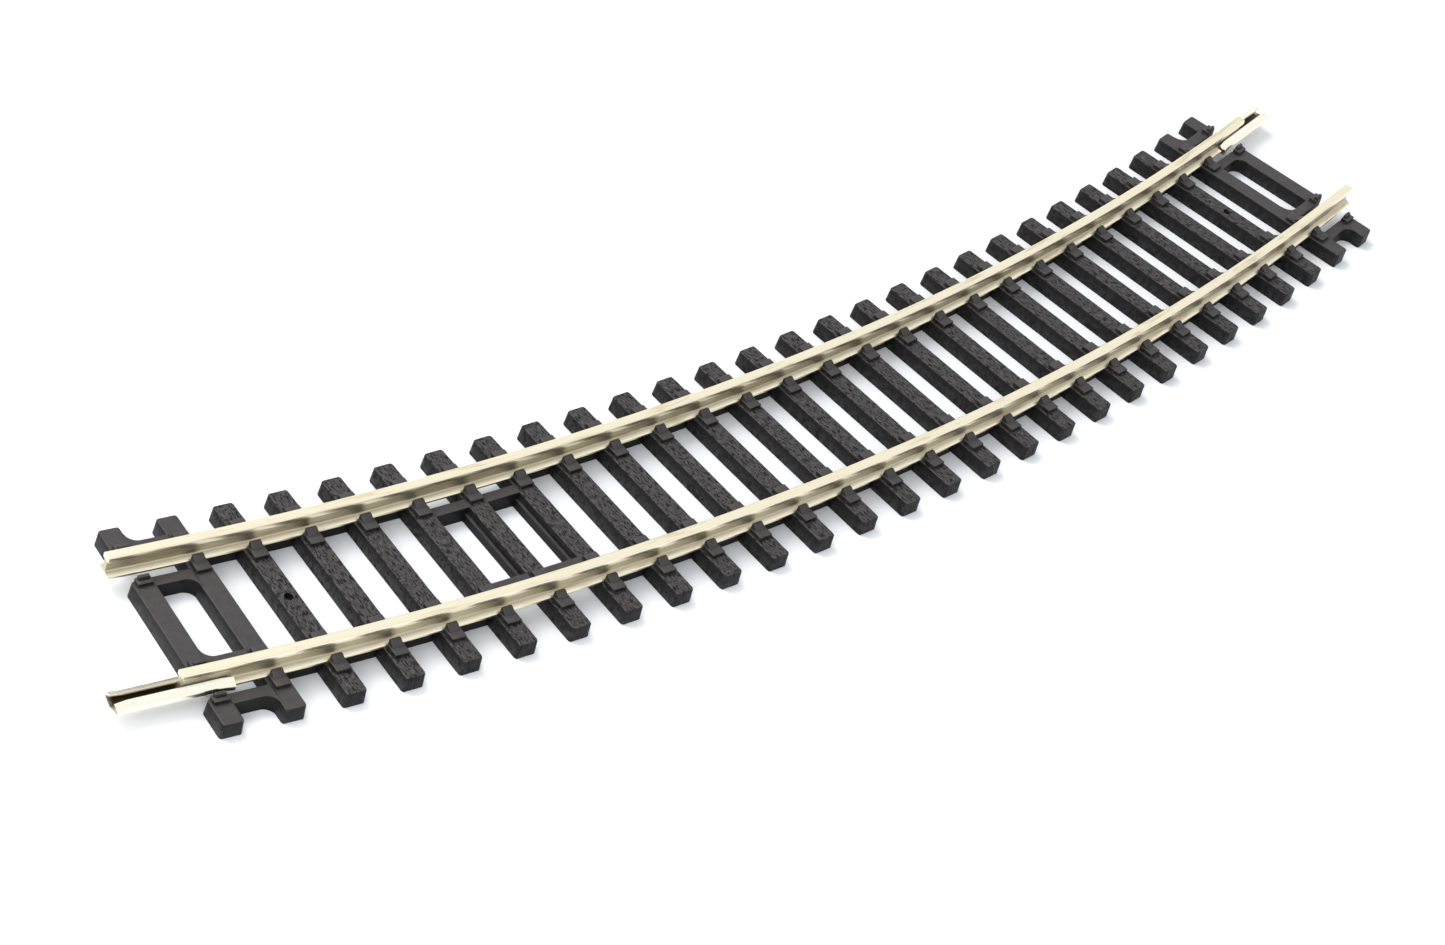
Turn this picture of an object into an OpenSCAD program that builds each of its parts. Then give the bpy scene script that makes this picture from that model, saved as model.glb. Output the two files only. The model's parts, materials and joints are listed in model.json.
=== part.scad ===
// Curved section of model railway track: a moulded sleeper base, two rails and two rail joiners.
// The section lies flat on Z = 0, runs along X and bends towards +Y, left end at -X.

/* [Curve] */
// Radius of the track's centreline
radius = 505; // [300:1:900]
// Angle that the section turns through
turn = 22.5; // [15:0.1:27]
// Number of sleepers
sleeper_count = 28; // [16:1:28]
// Distance between the inner faces of the two rail heads
gauge = 16.5; // [12:0.1:20]

/* [Sleepers] */
// Length of a sleeper across the track, at its foot
sleeper_len = 29.8; // [28:0.1:40]
// Width of a sleeper along the track, at its foot
sleeper_w = 2.5; // [2:0.05:3]
// Thickness of a sleeper
sleeper_t = 2; // [1.5:0.05:3]
// How far each long side leans in from foot to top
side_draft = 0.12; // [0:0.01:0.3]
// How far each end leans in from foot to top
end_draft = 0.35; // [0:0.01:0.8]
// Chamfer along the top edges
top_chamfer = 0.12; // [0.05:0.01:0.3]

/* [Rail] */
// Number of lengths that make up each curved rail
rail_lengths = 7; // [4:1:9]
// Height of the rail
rail_h = 2.54; // [2:0.01:3.5]
// Width of the rail's head
head_w = 1.2; // [0.8:0.01:1.8]
// Width of the rail's foot
foot_w = 2.3; // [1.8:0.01:3]
// Thickness of the rail's web
rail_web_w = 0.6; // [0.4:0.01:1]
// Thickness of the foot at its edge
foot_edge_t = 0.26; // [0.15:0.01:0.5]
// Thickness of the foot where it meets the web
foot_root_t = 0.5; // [0.3:0.01:0.8]
// Depth of the head
head_t = 0.72; // [0.5:0.01:1]

/* [Chairs] */
// Width of a chair's base along the track
chair_w = 1.75; // [1.2:0.01:2]
// Width of a chair's jaw along the track
jaw_len = 1.2; // [0.8:0.01:1.2]
// Width of a chair's base beyond its jaw
chair_ledge = 0.93; // [0.6:0.01:1.4]
// Height of a chair's base
chair_base_h = 0.4; // [0.2:0.01:0.5]
// Width of a chair's jaw beyond the rail's foot
jaw_w = 0.7; // [0.5:0.01:1]
// Height of a chair's jaw
jaw_h = 1.02; // [0.8:0.01:1.3]
// Clearance between a jaw and the foot of the rail
chair_clear = 0.03; // [0.01:0.01:0.1]

/* [Ties between sleepers] */
// Width of the rib that ties the sleepers together under each rail
rib_w = 0.9; // [0.6:0.05:1.8]
// Room beside a joiner in the openings under the rails, where a power clip goes too
slot_clear = 0.3; // [0.1:0.01:0.5]
// Width of the strips beside that opening, between the rails
inner_strip_w = 1.3; // [0.8:0.05:2]
// Width of the strips beside that opening, outside the rails
outer_strip_w = 1.4; // [0.8:0.05:2]
// Radius in the rounded corners of the strips
corner_r = 1.4; // [0.6:0.05:1.6]
// The two bays that take a power clip start at this sleeper
clip_sleeper = 6; // [3:1:10]
// Width of the clip ledge
ledge_w = 0.45; // [0.3:0.01:0.8]
// Height of the clip ledge
ledge_h = 1.05; // [0.6:0.01:1.4]
// Diameter of the pin holes
pin_hole_d = 1.05; // [0.8:0.01:1.5]
// Sleeper that has the pin hole, counted from each end
pin_sleeper = 3; // [3:1:5]

/* [Joiners] */
// Length of a joiner
joiner_len = 13.7; // [10:0.1:16]
// Length of rail inside a joiner at rest
joiner_grip = 6.1; // [4:0.1:7]
// Thickness of the joiner's sheet
sheet = 0.22; // [0.15:0.01:0.3]
// Clearance between the joiner and the foot of the rail
joiner_clear = 0.06; // [0.04:0.01:0.12]
// Half width of the slot between the joiner's lips
lip_slot_half = 0.52; // [0.45:0.01:0.7]
// Length of the flared tips
flare_len = 1.2; // [0.6:0.05:2]
// Angle that the two halves of a tip spread by
flare_angle = 7; // [2:0.5:12]
// Clearance between the joiner and the end sleeper under it
sleeper_clear = 0.12; // [0.1:0.01:0.3]

/* [Hidden] */
$fn = 64;
rail_fn = 550;
touch = 0.01;
over = 1;

// Every sleeper stands at the middle of an equal share of the curve.
step = turn / sleeper_count;
rail_u = gauge / 2 + head_w / 2;
rail_z = sleeper_t;
sleeper_half = sleeper_w / 2;
jaw_reach = foot_w / 2 + jaw_w;
jaw_lean = 0.2;
chair_edge = 0.1;
end_chair_set = 0.1;
chair_reach = jaw_reach + chair_ledge;

// The joiner's section follows the rail's foot.
joiner_half = foot_w / 2 + joiner_clear + sheet;
joiner_drop = joiner_clear + sheet;
tip_half = joiner_half + flare_len * sin(flare_angle);
recess_half = tip_half + sleeper_clear;
recess_depth = joiner_drop + joiner_clear;
slot_half = recess_half + slot_clear;

// The outer joiner sits on the left end and the inner joiner on the right end.
outer_joiner_a = -turn / 2 + deg_along(joiner_grip, radius + rail_u) / 2;
inner_joiner_a = turn / 2 - deg_along(joiner_grip, radius - rail_u) / 2;
joiner_tip = joiner_len - joiner_grip / 2;

// Box of the whole section about the middle of the curve, which sets the origin under its middle.
end_a = sleeper_angle(sleeper_count - 1);
x_min = (radius + rail_u) * sin(outer_joiner_a) - joiner_tip * cos(outer_joiner_a)
    - tip_half * sin(-outer_joiner_a);
x_max = (radius - rail_u) * sin(inner_joiner_a) + joiner_tip * cos(inner_joiner_a)
    + tip_half * sin(inner_joiner_a);
y_min = radius - (radius + sleeper_len / 2) * cos(step / 2 * ((sleeper_count + 1) % 2))
    - sleeper_half * sin(step / 2 * ((sleeper_count + 1) % 2));
y_max = radius - (radius - sleeper_len / 2) * cos(end_a) + sleeper_half * sin(end_a);
origin = [-(x_min + x_max) / 2, -(y_min + y_max) / 2, 0];

function sleeper_name(i) = str("sleeper_", i < 9 ? "0" : "", i + 1);
function rail_name(which, k) = str(which, "_rail_", k + 1);
function sleeper_angle(i) = (i - (sleeper_count - 1) / 2) * step;
function bay_angle(i) = sleeper_angle(i) + step / 2;
function deg_along(length, r) = length / r * 180 / PI;
function is_end(i) = i == 0 || i == sleeper_count - 1;
function is_end_bay(i) = i == 0 || i == sleeper_count - 2;
function is_clip_bay(i) = i == clip_sleeper - 1 || i == clip_sleeper;
function has_pin_hole(i) = i == pin_sleeper - 1 || i == sleeper_count - pin_sleeper;
// Half of the open length of a bay at a distance u outwards from the centreline
function bay_half(u) = (radius + u) * tan(step / 2) - sleeper_half;
// Points of an arc about c
function arc(c, r, a0, a1, n) = [
    for (k = [0 : n])
        let (a = a0 + (a1 - a0) * k / n)
            c + r * [cos(a), sin(a)]];
function mirrored(points) = [for (k = [len(points) - 1 : -1 : 0]) [-points[k][0], points[k][1]]];

// Places its children on the centreline at angle a: +X runs along the track, +Y to the inside
module at_angle(a) {
    translate(origin + [0, radius, 0])
        rotate(a)
            translate([0, -radius, 0])
                children();
}

// Draws its children across the track, in a plane of outward distance and height
module across(length) {
    rotate([90, 0, -90])
        linear_extrude(length, center = true)
            children();
}

// ---- Sleepers -------------------------------------------------------------------------------

// Section along the track: leaning sides and chamfered top edges
module sleeper_side_outline() {
    top = sleeper_half - side_draft;
    half = [[sleeper_half, 0], [top, sleeper_t - top_chamfer], [top - top_chamfer, sleeper_t]];
    polygon(concat(half, mirrored(half)));
}

// Section across the track: leaning ends
module sleeper_end_outline() {
    foot = sleeper_len / 2;
    top = foot - end_draft;
    half = [[foot, 0], [top, sleeper_t - top_chamfer], [top - top_chamfer, sleeper_t]];
    polygon(concat(half, mirrored(half)));
}

module sleeper_block() {
    intersection() {
        rotate([90, 0, 0])
            linear_extrude(sleeper_len + over, center = true)
                sleeper_side_outline();
        across(sleeper_w + over)
            sleeper_end_outline();
    }
}

// Half of a chair's base, from its near to its far edge beside the rail
module chair_base_outline(near, far) {
    polygon([
        [near, -touch], [far, -touch], [far, chair_base_h - chair_edge],
        [far - chair_edge, chair_base_h], [near, chair_base_h]]);
}

// Half of a chair's jaw, which laps the foot of the rail
module jaw_outline() {
    foot = foot_w / 2 + chair_clear;
    lap = rail_web_w / 2 + 0.25;
    slope = (foot_root_t - foot_edge_t) / (foot_w / 2 - rail_web_w / 2);
    lap_z = foot_edge_t + chair_clear + slope * (foot - lap);
    polygon([
        [foot, 0], [jaw_reach, 0], [jaw_reach, chair_base_h], [jaw_reach - jaw_lean, jaw_h - chair_edge],
        [jaw_reach - jaw_lean - chair_edge, jaw_h], [lap + chair_edge, jaw_h], [lap, jaw_h - chair_edge],
        [lap, lap_z], [foot, foot_edge_t + chair_clear]]);
}

// Half of a jaw on an end sleeper, set back and lower to let the joiner pass
module end_jaw_outline() {
    near = recess_half + end_chair_set;
    far = near + jaw_w;
    top = jaw_h - end_chair_set;
    polygon([
        [near, 0], [far, 0], [far, chair_base_h], [far - jaw_lean, top], [near, top]]);
}

// Section of a jaw along the track, which its sides lean in to
module jaw_side_outline() {
    top = jaw_len / 2 - jaw_lean / 2;
    polygon([[-jaw_len / 2, 0], [jaw_len / 2, 0], [jaw_len / 2, chair_base_h],
        [top, jaw_h], [-top, jaw_h], [-jaw_len / 2, chair_base_h]]);
}

// Both halves of a chair, at each rail
module chairs(end_sleeper) {
    near = end_sleeper ? recess_half + end_chair_set : foot_w / 2 + chair_clear;
    far = end_sleeper ? chair_reach + end_chair_set : chair_reach;
    for (side = [-1, 1])
        for (half = [0, 1])
            translate([0, side * rail_u, rail_z])
                mirror([0, half, 0]) {
                    across(chair_w)
                        chair_base_outline(near, far);
                    intersection() {
                        across(chair_w)
                            if (end_sleeper) end_jaw_outline();
                            else jaw_outline();
                        rotate([90, 0, 0])
                            linear_extrude(2 * sleeper_len, center = true)
                                jaw_side_outline();
                    }
                }
}

// Channels across an end sleeper, under the rails, for the joiners
module joiner_recesses() {
    for (side = [-1, 1])
        translate([-sleeper_w, side * rail_u - recess_half, sleeper_t - recess_depth])
            cube([2 * sleeper_w, 2 * recess_half, recess_depth + over]);
}

module sleeper(i) {
    color("#464140")
        at_angle(sleeper_angle(i))
            difference() {
                union() {
                    sleeper_block();
                    chairs(is_end(i));
                }
                if (is_end(i)) joiner_recesses();
                if (has_pin_hole(i))
                    translate([0, 0, -over])
                        cylinder(d = pin_hole_d, h = sleeper_t + 2 * over);
            }
}

// ---- Ties between the sleepers --------------------------------------------------------------

// The space beside a sleeper up to its top, on one side of it: to = 1 towards the right end
module beside_sleeper(to) {
    side = [[0, 0], [-side_draft, sleeper_t - top_chamfer], [-side_draft - top_chamfer, sleeper_t]];
    reach = 2 * sleeper_w + bay_half(sleeper_len);
    points = concat(
        [for (p = side) [to * (sleeper_half + p[0]), p[1]]],
        [[to * reach * 2, sleeper_t], [to * reach * 2, 0]]);
    rotate([90, 0, 0])
        linear_extrude(2 * sleeper_len, center = true)
            polygon(points);
}

// Trims its children to the two sleepers of bay i, so that they meet face to face
module in_bay(i) {
    color("#464140")
        intersection() {
            at_angle(bay_angle(i))
                children();
            at_angle(sleeper_angle(i))
                beside_sleeper(1);
            at_angle(sleeper_angle(i + 1))
                beside_sleeper(-1);
        }
}

// A bar from sleeper to sleeper, between two outward distances from the centreline
module bar(u0, u1) {
    length = 2 * bay_half(max(u0, u1)) + sleeper_w;
    translate([-length / 2, -u1, 0])
        cube([length, u1 - u0, sleeper_t]);
}

// The rounded corner between a strip's edge at u and a sleeper: to = signs along and across the track
module corner_fill(u, to) {
    r = min(corner_r, sleeper_len / 2 - end_draft - top_chamfer - abs(u), bay_half(u));
    translate([to[0] * (bay_half(u) - r), -u, 0])
        scale([to[0], to[1], 1])
            linear_extrude(sleeper_t)
                difference() {
                    translate([0, -touch])
                        square([r + sleeper_half, r + touch]);
                    translate([0, r])
                        circle(r);
                }
}

// Strips of an end bay: side = 1 at the outer rail, -1 at the inner rail
module end_strips(i) {
    for (side = [-1, 1]) {
        inner = [rail_u - slot_half - inner_strip_w, rail_u - slot_half];
        outer = [rail_u + slot_half, rail_u + slot_half + outer_strip_w];
        in_bay(i)
            if (side > 0) {
                bar(inner[0], inner[1]);
                corner_fill(inner[0], [-1, 1]);
            } else {
                bar(-inner[1], -inner[0]);
                corner_fill(-inner[0], [1, -1]);
            }
        in_bay(i)
            if (side > 0) {
                bar(outer[0], outer[1]);
                corner_fill(outer[1], [1, -1]);
            } else {
                bar(-outer[1], -outer[0]);
                corner_fill(-outer[1], [-1, 1]);
            }
    }
}

// Ribs under one rail in all the plain bays
module ribs(side) {
    for (i = [0 : sleeper_count - 2])
        if (!is_end_bay(i) && !is_clip_bay(i))
            in_bay(i)
                bar(side * rail_u - rib_w / 2, side * rail_u + rib_w / 2);
}

// Strips beside one rail in the two clip bays
module clip_strips(side) {
    near = rail_u - slot_half - inner_strip_w;
    far = rail_u - slot_half;
    for (i = [clip_sleeper - 1, clip_sleeper])
        in_bay(i)
            if (side > 0) bar(near, far);
            else bar(-far, -near);
}

// Low ledges across the clip bays, which a power clip snaps under
module clip_ledges() {
    reach = rail_u - slot_half - inner_strip_w;
    color("#464140")
        for (i = [clip_sleeper, clip_sleeper + 1])
            at_angle(sleeper_angle(i))
                difference() {
                    translate([-sleeper_half - ledge_w, -reach, 0])
                        cube([ledge_w + sleeper_half, 2 * reach, ledge_h]);
                    sleeper_block();
                    translate([0, -reach, 0])
                        cube([sleeper_w, 2 * reach, sleeper_t]);
                }
}

// ---- Rails ----------------------------------------------------------------------------------

// Flat-bottomed rail, standing on Z = 0
module rail_outline() {
    foot = foot_w / 2;
    web = rail_web_w / 2;
    head = head_w / 2;
    fillet = 0.18;
    crown = 0.2;
    head_z = rail_h - head_t;
    half = concat(
        [[foot - 0.04, 0], [foot, 0.04], [foot, foot_edge_t - 0.04], [foot - 0.05, foot_edge_t]],
        arc([web + fillet, foot_root_t + fillet], fillet, 270, 180, 2),
        arc([web + fillet, head_z - fillet], fillet, 180, 90, 2),
        [[head, head_z + 0.08]],
        arc([head - crown, rail_h - crown], crown, 0, 80, 2));
    polygon(concat(half, mirrored(half)));
}

// Length k of a rail, which meets its neighbours face to face
module rail(side, k) {
    share = turn / rail_lengths;
    color("#d9cda6")
        translate(origin + [0, radius, rail_z])
            rotate(-90 - turn / 2 + k * share)
                rotate_extrude(angle = share, $fn = rail_fn)
                    translate([radius + side * rail_u, 0])
                        rail_outline();
}

// ---- Joiners --------------------------------------------------------------------------------

// Half of the folded sheet around the rail's foot: floor, side and lip
module joiner_outline() {
    inside = foot_w / 2 + joiner_clear;
    bend = 0.1;
    side_top = foot_edge_t + joiner_clear;
    lip_rise = foot_root_t - foot_edge_t + 0.1;
    polygon(concat(
        [[0, -joiner_clear], [0, -joiner_drop]],
        arc([inside + sheet - bend - sheet, -joiner_drop + bend + sheet], bend + sheet, 270, 360, 3),
        arc([inside + sheet - bend - sheet, side_top - bend], bend + sheet, 0, 70, 3),
        [[lip_slot_half, side_top + lip_rise + sheet], [lip_slot_half, side_top + lip_rise]],
        arc([inside - bend, side_top - bend], bend, 70, 0, 2),
        arc([inside - bend, -joiner_clear + bend], bend, 360, 270, 2)));
}

// A joiner along X, with its middle on the rail's end and both tips flared
module joiner_body() {
    straight = joiner_len - 2 * flare_len;
    for (half = [0, 1])
        mirror([0, half, 0]) {
            across(straight)
                joiner_outline();
            for (end = [0, 1])
                mirror([end, 0, 0])
                    translate([straight / 2, 0, 0])
                        rotate(-flare_angle)
                            translate([flare_len / 2, 0, 0])
                                across(flare_len)
                                    joiner_outline();
        }
}

// Places a joiner on a rail's end: out = -1 on the left end, 1 on the right end
module joiner(side, a, out) {
    color("#e0d6b4")
        at_angle(a)
            translate([out * (joiner_tip - joiner_len / 2), -side * rail_u, rail_z])
                joiner_body();
}

module outer_joiner() joiner(1, outer_joiner_a, -1);
module inner_joiner() joiner(-1, inner_joiner_a, 1);

for (i = [0 : sleeper_count - 1])
    sleeper(i);
end_strips(0);  // left_end_strips
end_strips(sleeper_count - 2);  // right_end_strips
ribs(1);  // outer_ribs
ribs(-1);  // inner_ribs
clip_strips(1);  // outer_clip_strips
clip_strips(-1);  // inner_clip_strips
clip_ledges();
outer_joiner();
inner_joiner();
for (k = [0 : rail_lengths - 1])
    rail(1, k);
for (k = [0 : rail_lengths - 1])
    rail(-1, k);
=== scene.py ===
"""Looks of a curved section of model railway track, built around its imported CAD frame."""
import json
import math

import bmesh
import bpy
from mathutils import Euler, Matrix, Vector, noise


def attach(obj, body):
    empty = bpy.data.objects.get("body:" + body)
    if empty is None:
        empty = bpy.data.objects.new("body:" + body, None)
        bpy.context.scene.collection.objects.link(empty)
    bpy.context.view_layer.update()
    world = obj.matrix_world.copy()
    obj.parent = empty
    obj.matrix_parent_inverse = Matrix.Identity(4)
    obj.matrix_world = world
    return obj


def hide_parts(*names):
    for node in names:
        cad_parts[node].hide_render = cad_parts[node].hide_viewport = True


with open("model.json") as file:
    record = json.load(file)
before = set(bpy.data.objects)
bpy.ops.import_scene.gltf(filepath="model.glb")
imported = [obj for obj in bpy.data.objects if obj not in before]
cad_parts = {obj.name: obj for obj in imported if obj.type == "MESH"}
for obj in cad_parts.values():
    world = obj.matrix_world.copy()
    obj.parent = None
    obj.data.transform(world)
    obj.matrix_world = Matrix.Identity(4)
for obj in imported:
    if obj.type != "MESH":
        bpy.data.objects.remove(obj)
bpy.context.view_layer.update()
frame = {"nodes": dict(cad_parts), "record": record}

bl_info = {
    "name": "Curved Model Track",
    "version": (1, 0, 0),
    "blender": (4, 5, 0),
    "location": "View3D > Sidebar > Track",
    "description": "Sleepers, rails, joiners and studio for a curved section of model railway track",
    "category": "Object",
}

MM = 0.001
MOUNTS = {m["name"]: m for m in frame["record"]["mounts"]}
NODES = sorted(frame["nodes"])
SLEEPERS = [n for n in NODES if n.startswith("sleeper_")]
RAILS = {side: [n for n in NODES if n.startswith(side + "_rail_")] for side in ("outer", "inner")}
# Which side of the centreline a rail lies on, and the end where its joiner sits, -1 for the left.
OUTWARD = {"outer": 1, "inner": -1}
JOINER_END = {"outer": -1, "inner": 1}


# ---- Sizes and colours that a user would change -----------------------------------------------

def length(name, default, description):
    """A size in metres."""
    return bpy.props.FloatProperty(
        name=name, default=default, description=description, min=0, unit="LENGTH", precision=5)


def share(name, default, description):
    """A number from 0 to 1."""
    return bpy.props.FloatProperty(
        name=name, default=default, description=description, min=0, max=1, subtype="FACTOR")


def colour(name, default, description):
    """A colour without alpha."""
    return bpy.props.FloatVectorProperty(
        name=name, default=default, description=description, size=3, min=0, max=1, subtype="COLOR")


class TrackCurve(bpy.types.PropertyGroup):
    """The curve that the track follows."""
    radius: length("Radius", 505 * MM, "Radius of the track's centreline")
    turn: bpy.props.FloatProperty(
        name="Turn", default=math.radians(22.5), description="Angle that the section turns through",
        subtype="ANGLE", unit="ROTATION")
    rail_offset: length("Rail offset", 8.85 * MM, "From the centreline to the middle of a rail")
    smooth_sleepers: bpy.props.IntProperty(
        name="Plain sleepers", default=2, min=0, description="Sleepers without grain at each end")


class SleeperSizes(bpy.types.PropertyGroup):
    """The moulded sleepers and their chairs."""
    span: length("Length", 29.7 * MM, "Length of a sleeper at its foot")
    width: length("Width", 2.7 * MM, "Width of a sleeper at its foot")
    thickness: length("Thickness", 2 * MM, "Thickness of a sleeper")
    side_draft: length("Side draft", 0.1 * MM, "How far a long side leans in")
    end_draft: length("End draft", 0.06 * MM, "How far an end leans in")
    edge: length("Edge", 0.12 * MM, "Size of the rounded top edges")
    corner: length("Corner", 0.28 * MM, "Radius of a sleeper's upright corners")
    grain_depth: length("Grain depth", 0.07 * MM, "Depth of the moulded wood grain")
    pin_hole: length("Pin hole", 1.05 * MM, "Diameter of a pin hole")
    clip_slot: length("Clip slot", 4.04 * MM, "Width of the slots through an end sleeper")
    chair_width: length("Chair width", 1.85 * MM, "Width of a chair's base along the track")
    chair_reach: length("Chair reach", 2.98 * MM, "From the rail's middle to the end of a chair's base")
    chair_base: length("Chair base", 0.5 * MM, "Height of a chair's base")
    chair_room: length("Chair room", 0.03 * MM, "Room between a jaw and the rail's foot")
    jaw_length: length("Jaw length", 1.45 * MM, "Width of a jaw along the track")
    jaw_reach: length("Jaw reach", 2.05 * MM, "From the rail's middle to the outside of a jaw")
    jaw_height: length("Jaw height", 1.02 * MM, "Height of a jaw")
    jaw_front: length("Jaw front", 1.32 * MM, "From the rail's middle to the outer edge of a jaw's top")
    jaw_lap: length("Jaw lap", 0.95 * MM, "From the rail's middle to a jaw's inner edge")
    end_jaw: length("End jaw", 0.58 * MM, "Thickness of the upright jaw on an end sleeper")
    end_setback: length(
        "End setback", 0.14 * MM, "How far the end sleepers' chairs stand out beyond the others")


class RailSizes(bpy.types.PropertyGroup):
    """The section of the rail."""
    height: length("Height", 2.54 * MM, "Height of the rail")
    head: length("Head", 1.2 * MM, "Width of the head")
    foot: length("Foot", 2.3 * MM, "Width of the foot")
    web: length("Web", 0.6 * MM, "Thickness of the web")
    foot_edge: length("Foot edge", 0.26 * MM, "Thickness of the foot at its edge")
    foot_root: length("Foot root", 0.5 * MM, "Thickness of the foot at the web")
    head_depth: length("Head depth", 0.72 * MM, "Depth of the head")
    steps: bpy.props.IntProperty(
        name="Steps", default=112, min=8, description="Steps of the bend along the rail")


class JoinerSizes(bpy.types.PropertyGroup):
    """The folded rail joiners."""
    span: length("Length", 13.7 * MM, "Length of a joiner")
    grip: length("Grip", 6.1 * MM, "Length of rail inside a joiner")
    sheet: length("Sheet", 0.22 * MM, "Thickness of the sheet")
    clearance: length("Clearance", 0.06 * MM, "Room around the rail's foot")
    slot: length("Slot", 0.76 * MM, "Width of the slot between the lips")
    flare: length("Flare", 1.5 * MM, "Length of the flared tips")
    flare_angle: bpy.props.FloatProperty(
        name="Flare angle", default=math.radians(7), description="Angle that the tips spread by",
        subtype="ANGLE", unit="ROTATION")


class Finish(bpy.types.PropertyGroup):
    """Colours and surfaces."""
    plastic: colour("Plastic", (0.0035, 0.0032, 0.0035), "Moulded sleeper base")
    # Painted top light: faces that look up are given this lighter colour in place of the black plastic.
    plastic_lit_top: colour(
        "Plastic film", (0.040, 0.0365, 0.036), "Film of handling where the sleeper base looks up")
    plastic_roughness: share("Plastic roughness", 0.5, "Roughness of the sleeper base")
    rail: colour("Rail", (0.97, 0.885, 0.67), "Drawn nickel silver")
    # Also the colour, made darker, of the painted shade inside the joiners' folds and on the rails' webs.
    rail_tarnish_and_shade: colour("Rail tarnish", (0.48, 0.36, 0.19), "Tarnish on the rail")
    rail_roughness: share("Rail roughness", 0.3, "Roughness of the rail")
    joiner: colour("Joiner", (0.98, 0.93, 0.78), "Rolled joiner sheet")
    joiner_roughness: share("Joiner roughness", 0.26, "Roughness of the joiner")
    floor: colour("Floor", (0.62, 0.63, 0.645), "Studio floor")


GROUPS = (TrackCurve, SleeperSizes, RailSizes, JoinerSizes, Finish)


def sizes(name):
    """One of the property groups, which register() put on the scene."""
    return getattr(bpy.context.scene, name)


# ---- Places ------------------------------------------------------------------------------------

def curve_centre():
    """Centre of the curve, found from the right end of the outer rail."""
    end = Vector(MOUNTS["outer_rail_end"]["pos_m"])
    half, radius = sizes("track_curve").turn / 2, rail_radius("outer")
    return Vector((end.x - radius * math.sin(half), end.y + radius * math.cos(half), 0))


def at_angle(angle):
    """Puts +X along the track and +Y to its inside, at this angle round the curve."""
    back = Matrix.Translation((0, -sizes("track_curve").radius, 0))
    return Matrix.Translation(curve_centre()) @ Matrix.Rotation(angle, 4, "Z") @ back


def sleeper_angle(index):
    """Angle of a sleeper, which is counted from 0 at the left end."""
    step = sizes("track_curve").turn / len(SLEEPERS)
    return (index - (len(SLEEPERS) - 1) / 2) * step


def rail_radius(side):
    """Radius of the middle of a rail."""
    curve = sizes("track_curve")
    return curve.radius + OUTWARD[side] * curve.rail_offset


# ---- Mesh helpers ------------------------------------------------------------------------------

MERGE_DISTANCE = 0.001 * MM
# An edge is shaded sharp from the first angle, and wears fully from the second.
SHARP_FROM, FULL_WEAR_FROM = math.radians(50), math.radians(60)


def finish_piece(name, bm, material, body, nodes):
    """Makes the mesh an object with an edge mask, on its body and in the nodes' place."""
    bmesh.ops.remove_doubles(bm, verts=bm.verts, dist=MERGE_DISTANCE)
    bmesh.ops.recalc_face_normals(bm, faces=bm.faces)
    mask_edges(bm)
    mesh = bpy.data.meshes.new(name)
    bm.to_mesh(mesh)
    bm.free()
    mesh.polygons.foreach_set("use_smooth", [True] * len(mesh.polygons))
    mesh.set_sharp_from_angle(angle=SHARP_FROM)
    piece = bpy.data.objects.new(name, mesh)
    bpy.context.scene.collection.objects.link(piece)
    mesh.materials.append(material)
    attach(piece, body)
    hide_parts(*nodes)
    return piece


def own_place(bm, offset):
    """Keeps each point's place in millimetres for its pattern, before the piece is put down."""
    layer = bm.verts.layers.float_vector.new("own_place")
    for v in bm.verts:
        v[layer] = v.co / MM + offset


def mask_edges(bm):
    """Writes how sharp the mesh is at each point, from 0 on a flat or where it bends inwards to 1 on an edge.
    """
    layer = bm.verts.layers.float.new("edge_mask")
    for v in bm.verts:
        bends = [e.calc_face_angle_signed(0) for e in v.link_edges if len(e.link_faces) == 2]
        v[layer] = min(1, max(0, max(bends, default=0) / FULL_WEAR_FROM))


def outline_face(bm, points, matrix):
    """One flat face from an outline in (outward distance, height), standing across the track."""
    verts = [bm.verts.new(matrix @ Vector((0, -u, z))) for u, z in points]
    return bm.faces.new(verts)


def prism(bm, points, along, matrix):
    """A prism of that outline, centred on its own plane; gives its points."""
    face = outline_face(bm, points, matrix @ Matrix.Translation((-along / 2, 0, 0)))
    made = bmesh.ops.extrude_face_region(bm, geom=[face], use_keep_orig=True)["geom"]
    far = [g for g in made if isinstance(g, bmesh.types.BMVert)]
    bmesh.ops.translate(bm, vec=matrix.to_3x3() @ Vector((along, 0, 0)), verts=far)
    return list(face.verts) + far


def round_off(bm, geom, width, affect, segments):
    """Rounds edges, or the corners of a line or a flat face."""
    bmesh.ops.bevel(
        bm, geom=geom, offset=width, offset_type="OFFSET", affect=affect, segments=segments,
        profile=0.5, material=-1, clamp_overlap=True)


# ---- Materials ---------------------------------------------------------------------------------

def socket_group(name, inputs, outputs):
    """A shader node group with these named inputs and outputs, and its two end nodes."""
    tree = bpy.data.node_groups.new(name, "ShaderNodeTree")
    for label, kind, value in inputs:
        made = tree.interface.new_socket(label, in_out="INPUT", socket_type=kind)
        if value is not None:
            made.default_value = value
    for label, kind in outputs:
        tree.interface.new_socket(label, in_out="OUTPUT", socket_type=kind)
    return tree, tree.nodes.new("NodeGroupInput"), tree.nodes.new("NodeGroupOutput")


def node(tree, kind, inputs=(), **settings):
    """A node with its settings and its inputs, each a value or another node's output."""
    made = tree.nodes.new(kind)
    for key, value in settings.items():
        setattr(made, key, value)
    for key, value in dict(inputs).items():
        if isinstance(value, bpy.types.NodeSocket):
            tree.links.new(value, made.inputs[key])
        else:
            made.inputs[key].default_value = value
    return made


def maths(tree, operation, *values, clamp=False):
    """One Math node's result."""
    made = node(tree, "ShaderNodeMath", dict(enumerate(values)), operation=operation, use_clamp=clamp)
    return made.outputs[0]


def ramp(tree, value, low, high, to_low=0.0, to_high=1.0):
    """Value from low to high, brought smoothly to another range."""
    inputs = {0: value, 1: low, 2: high, 3: to_low, 4: to_high}
    return node(tree, "ShaderNodeMapRange", inputs, interpolation_type="SMOOTHSTEP").outputs[0]


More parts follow.
